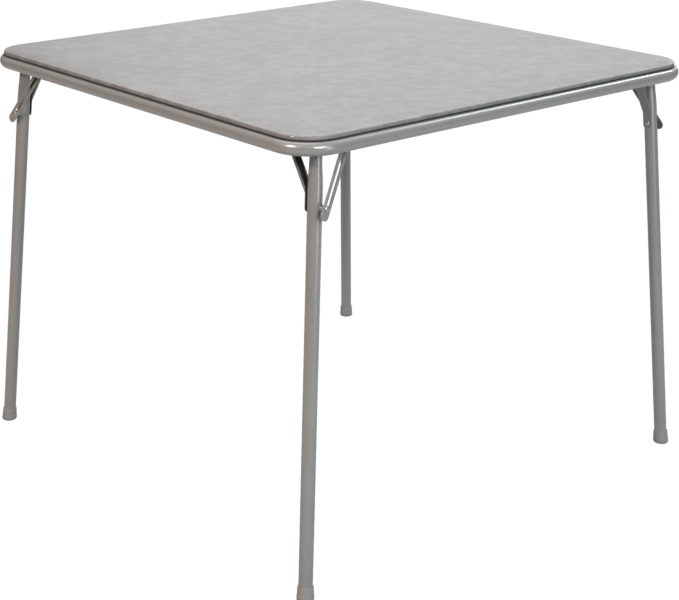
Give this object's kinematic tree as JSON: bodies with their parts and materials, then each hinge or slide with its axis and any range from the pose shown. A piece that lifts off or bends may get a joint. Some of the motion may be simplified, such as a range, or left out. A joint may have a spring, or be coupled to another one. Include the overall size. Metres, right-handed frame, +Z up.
{
  "type": "folding card table",
  "caption": "Square folding card table with a padded vinyl top, a round steel tube frame and splayed tube legs that fold in a pinwheel with slotted lock links.",
  "frame": {"origin": "on the floor under the middle of the top", "axes": "+Z up; +X and +Y along the sides of the square top, -Y the front side"},
  "size_m": [0.8992, 0.8992, 0.711],
  "materials": {
    "frame_paint": "satin warm grey enamel",
    "leg_paint": "satin warm grey enamel",
    "link_steel": "zinc plated, dull",
    "zinc_steel": "zinc plated",
    "bare_steel": "mill finish",
    "vinyl": "light grey vinyl with a faint leather grain",
    "hardboard": "raw hardboard",
    "foam": "open foam",
    "cap_rubber": "matt grey rubber"
  },
  "bodies": {
    "frame": {"frame_half_front": "frame_paint", "frame_half_back": "frame_paint", "frame_sleeves": "bare_steel", "panel_board": "hardboard", "foam_pad": "foam", "vinyl_cover": "vinyl", "cover_staples": "zinc_steel", "panel_tabs": "frame_paint", "panel_screws": "zinc_steel", "hinge_bracket_front_left": "frame_paint", "hinge_bracket_front_right": "frame_paint", "hinge_bracket_back_right": "frame_paint", "hinge_bracket_back_left": "frame_paint", "hinge_pin_front_left": "zinc_steel", "hinge_pin_front_right": "zinc_steel", "hinge_pin_back_right": "zinc_steel", "hinge_pin_back_left": "zinc_steel", "link_pivot_rivet_front_left": "zinc_steel", "link_pivot_rivet_front_right": "zinc_steel", "link_pivot_rivet_back_right": "zinc_steel", "link_pivot_rivet_back_left": "zinc_steel", "strut_pivot_rivet_front_left": "zinc_steel", "strut_pivot_rivet_front_right": "zinc_steel", "strut_pivot_rivet_back_right": "zinc_steel", "strut_pivot_rivet_back_left": "zinc_steel"},
    "leg_front_left": {"leg_tube_front_left": "leg_paint", "side_strut_front_left": "leg_paint", "strut_rivet_front_left": "zinc_steel", "leg_stud_front_left": "zinc_steel", "foot_cap_front_left": "cap_rubber"},
    "link_front_left": {"lock_link_front_left": "link_steel", "slot_rivet_front_left": "zinc_steel"},
    "leg_front_right": {"leg_tube_front_right": "leg_paint", "side_strut_front_right": "leg_paint", "strut_rivet_front_right": "zinc_steel", "leg_stud_front_right": "zinc_steel", "foot_cap_front_right": "cap_rubber"},
    "link_front_right": {"lock_link_front_right": "link_steel", "slot_rivet_front_right": "zinc_steel"},
    "leg_back_right": {"leg_tube_back_right": "leg_paint", "side_strut_back_right": "leg_paint", "strut_rivet_back_right": "zinc_steel", "leg_stud_back_right": "zinc_steel", "foot_cap_back_right": "cap_rubber"},
    "link_back_right": {"lock_link_back_right": "link_steel", "slot_rivet_back_right": "zinc_steel"},
    "leg_back_left": {"leg_tube_back_left": "leg_paint", "side_strut_back_left": "leg_paint", "strut_rivet_back_left": "zinc_steel", "leg_stud_back_left": "zinc_steel", "foot_cap_back_left": "cap_rubber"},
    "link_back_left": {"lock_link_back_left": "link_steel", "slot_rivet_back_left": "zinc_steel"}
  },
  "joints": [
    {"name": "leg_fold_front_left", "type": "hinge", "parent": "frame", "child": "leg_front_left", "pos_m": [-0.3713, -0.389, 0.684], "axis": [0.1887, -0.9708, 0.1478], "range_deg": [0, 95]},
    {"name": "link_fold_front_left", "type": "hinge", "parent": "frame", "child": "link_front_left", "pos_m": [-0.31352, -0.37706, 0.68865], "axis": [0.1887, -0.9708, 0.1478], "range_deg": [0, 119.2]},
    {"name": "leg_fold_front_right", "type": "hinge", "parent": "frame", "child": "leg_front_right", "pos_m": [0.389, -0.3713, 0.684], "axis": [0.9708, 0.1887, 0.1478], "range_deg": [0, 95]},
    {"name": "link_fold_front_right", "type": "hinge", "parent": "frame", "child": "link_front_right", "pos_m": [0.37706, -0.31352, 0.68865], "axis": [0.9708, 0.1887, 0.1478], "range_deg": [0, 119.2]},
    {"name": "leg_fold_back_right", "type": "hinge", "parent": "frame", "child": "leg_back_right", "pos_m": [0.3713, 0.389, 0.684], "axis": [-0.1887, 0.9708, 0.1478], "range_deg": [0, 95]},
    {"name": "link_fold_back_right", "type": "hinge", "parent": "frame", "child": "link_back_right", "pos_m": [0.31352, 0.37706, 0.68865], "axis": [-0.1887, 0.9708, 0.1478], "range_deg": [0, 119.2]},
    {"name": "leg_fold_back_left", "type": "hinge", "parent": "frame", "child": "leg_back_left", "pos_m": [-0.389, 0.3713, 0.684], "axis": [-0.9708, -0.1887, 0.1478], "range_deg": [0, 95]},
    {"name": "link_fold_back_left", "type": "hinge", "parent": "frame", "child": "link_back_left", "pos_m": [-0.37706, 0.31352, 0.68865], "axis": [-0.9708, -0.1887, 0.1478], "range_deg": [0, 119.2]}
  ],
  "couplings": [
    {"joint": "link_fold_front_left", "follows": "leg_fold_front_left", "ratio": 1.2491},
    {"joint": "link_fold_front_right", "follows": "leg_fold_front_right", "ratio": 1.2491},
    {"joint": "link_fold_back_right", "follows": "leg_fold_back_right", "ratio": 1.2491},
    {"joint": "link_fold_back_left", "follows": "leg_fold_back_left", "ratio": 1.2491}
  ]
}
